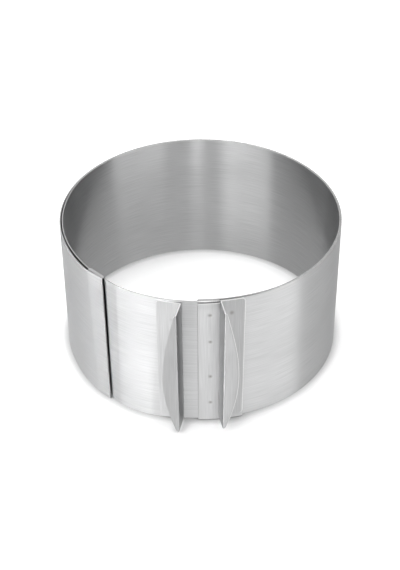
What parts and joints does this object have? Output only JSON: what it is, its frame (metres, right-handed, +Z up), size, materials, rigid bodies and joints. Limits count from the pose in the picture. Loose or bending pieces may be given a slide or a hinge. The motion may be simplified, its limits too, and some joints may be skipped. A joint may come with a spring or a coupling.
{
  "type": "adjustable cake ring",
  "caption": "Bottomless cake ring of wound steel strip; a hook slides one end along the other turn when the handles are pulled apart or pinched, to set its diameter.",
  "frame": {"origin": "middle of the footprint, on the surface that the ring stands on; the ring's own axis is 6 mm behind it, because the handles stand out in front", "axes": "+Z up along the ring's axis, -Y towards the handles, +X to the right of someone facing them"},
  "size_m": [0.163, 0.175, 0.0859],
  "materials": {
    "band_steel": "brushed along the strip",
    "handle_steel": "satin, brushed upwards",
    "slide_steel": "satin, brushed upwards, with spot-weld dimples"
  },
  "bodies": {
    "ring": {"band": "band_steel", "left_handle": "handle_steel"},
    "slide": {"slide_hook": "slide_steel", "slide_plate": "slide_steel", "right_handle": "handle_steel"}
  },
  "joints": [
    {"name": "size_slide", "type": "hinge", "parent": "ring", "child": "slide", "pos_m": [0, 0.00603, 0], "axis": [0, 0, 1], "range_deg": [-5, 288]}
  ]
}
